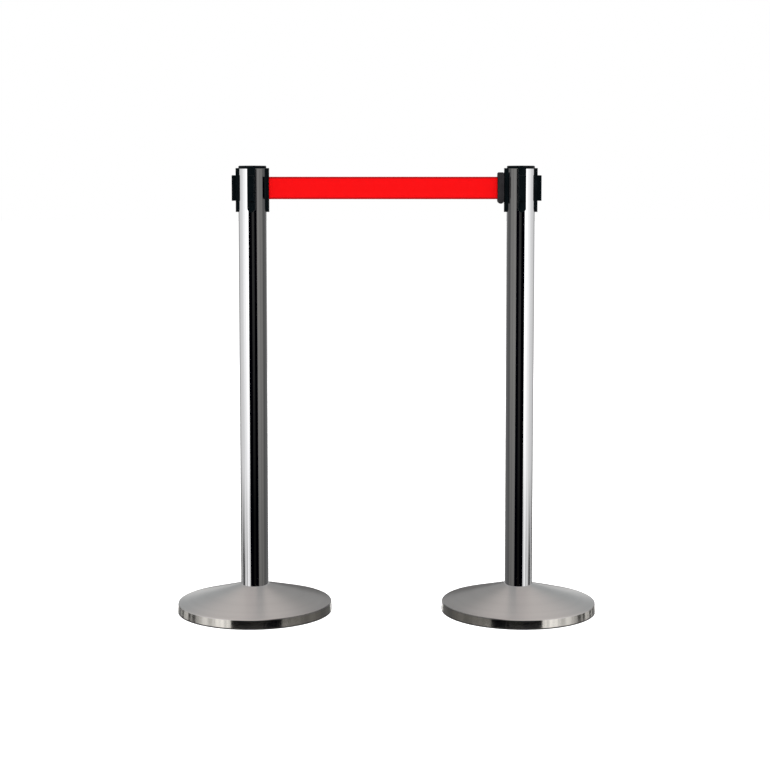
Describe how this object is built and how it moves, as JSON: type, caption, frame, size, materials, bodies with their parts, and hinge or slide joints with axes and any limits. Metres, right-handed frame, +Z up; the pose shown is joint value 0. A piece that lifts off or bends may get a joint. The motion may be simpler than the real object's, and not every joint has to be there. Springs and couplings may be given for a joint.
{
  "type": "retractable belt stanchion pair",
  "caption": "Free-standing barrier posts with weighted cone bases and sprung belt heads, joined by a belt that draws out of a head and hooks on the next post.",
  "frame": {"origin": "on the floor, halfway between the axes of the two posts", "axes": "+Z up; +X from the left post, which gives the belt, to the right post, which holds its clip; -Y is the front"},
  "size_m": [0.95, 0.35, 1.01],
  "materials": {
    "polished_steel": "mirror-polished stainless steel",
    "satin_steel": "spun satin stainless steel with a polished rim",
    "black_plastic": "moulded black ABS, fine satin",
    "clip_plastic": "moulded charcoal nylon, satin",
    "belt_webbing": "tight-woven red polyester webbing with darker selvedges",
    "rubber": "black rubber",
    "cast_iron": "raw casting, painted dark grey",
    "zinc_steel": "zinc-plated steel",
    "spring_steel": "blued spring steel",
    "bush_bronze": "sintered bronze",
    "white_nylon": "natural moulded nylon"
  },
  "bodies": {
    "left_post": {"left_base_cover": "satin_steel", "left_base_weight": "cast_iron", "left_floor_ring": "rubber", "left_tie_bolt": "zinc_steel", "left_tie_washer": "zinc_steel", "left_tube": "polished_steel", "left_foot_plate": "zinc_steel", "left_cassette_body": "black_plastic", "left_cassette_lid": "black_plastic", "left_lid_screws": "zinc_steel", "left_top_cap": "black_plastic", "left_belt_outlet": "black_plastic", "left_guide_pins": "zinc_steel", "left_spindle": "zinc_steel", "left_spindle_ring": "zinc_steel", "left_power_spring": "spring_steel", "left_belt": "belt_webbing", "left_receiver_front": "black_plastic", "left_receiver_back": "black_plastic", "left_receiver_outer": "black_plastic"},
    "right_post": {"right_base_cover": "satin_steel", "right_base_weight": "cast_iron", "right_floor_ring": "rubber", "right_tie_bolt": "zinc_steel", "right_tie_washer": "zinc_steel", "right_tube": "polished_steel", "right_foot_plate": "zinc_steel", "right_cassette_body": "black_plastic", "right_cassette_lid": "black_plastic", "right_lid_screws": "zinc_steel", "right_top_cap": "black_plastic", "right_belt_outlet": "black_plastic", "right_guide_pins": "zinc_steel", "right_spindle": "zinc_steel", "right_spindle_ring": "zinc_steel", "right_power_spring": "spring_steel", "right_belt": "belt_webbing", "right_receiver_front": "black_plastic", "right_receiver_inner": "black_plastic", "right_receiver_outer": "black_plastic"},
    "belt_clip": {"left_clip_body": "clip_plastic", "left_clip_pin": "zinc_steel"},
    "left_spool": {"left_spool": "white_nylon", "left_upper_bush": "bush_bronze", "left_lower_bush": "bush_bronze", "left_barrel_cover": "white_nylon", "left_belt_winding": "belt_webbing"},
    "right_clip": {"right_clip_body": "clip_plastic", "right_clip_pin": "zinc_steel"},
    "right_spool": {"right_spool": "white_nylon", "right_upper_bush": "bush_bronze", "right_lower_bush": "bush_bronze", "right_barrel_cover": "white_nylon", "right_belt_winding": "belt_webbing"}
  },
  "joints": [
    {"name": "post_spacing", "type": "slide", "parent": "left_post", "child": "right_post", "axis": [1, 0, 0], "range_m": [-0.245, 1.4], "deforming": ["left_belt"]},
    {"name": "clip_lift", "type": "slide", "parent": "right_post", "child": "belt_clip", "axis": [0, 0, 1], "range_m": [0, 0.07]},
    {"name": "left_spool_turn", "type": "hinge", "parent": "left_post", "child": "left_spool", "pos_m": [-0.3, 0, 0.96], "axis": [0, 0, 1], "range_deg": [-655, 3750], "deforming": ["left_power_spring"]},
    {"name": "right_belt_draw", "type": "slide", "parent": "right_post", "child": "right_clip", "axis": [0, 1, 0], "range_m": [0, 1.9], "stiffness_N_per_m": 1.5, "springref_m": -3, "deforming": ["right_belt"]},
    {"name": "right_spool_turn", "type": "hinge", "parent": "right_post", "child": "right_spool", "pos_m": [0.3, 0, 0.96], "axis": [0, 0, 1], "range_deg": [0, 4600], "deforming": ["right_power_spring"]}
  ],
  "couplings": [
    {"joint": "left_spool_turn", "follows": "post_spacing", "rad_per_m": 46.171},
    {"joint": "right_spool_turn", "follows": "right_belt_draw", "rad_per_m": 41.757}
  ]
}
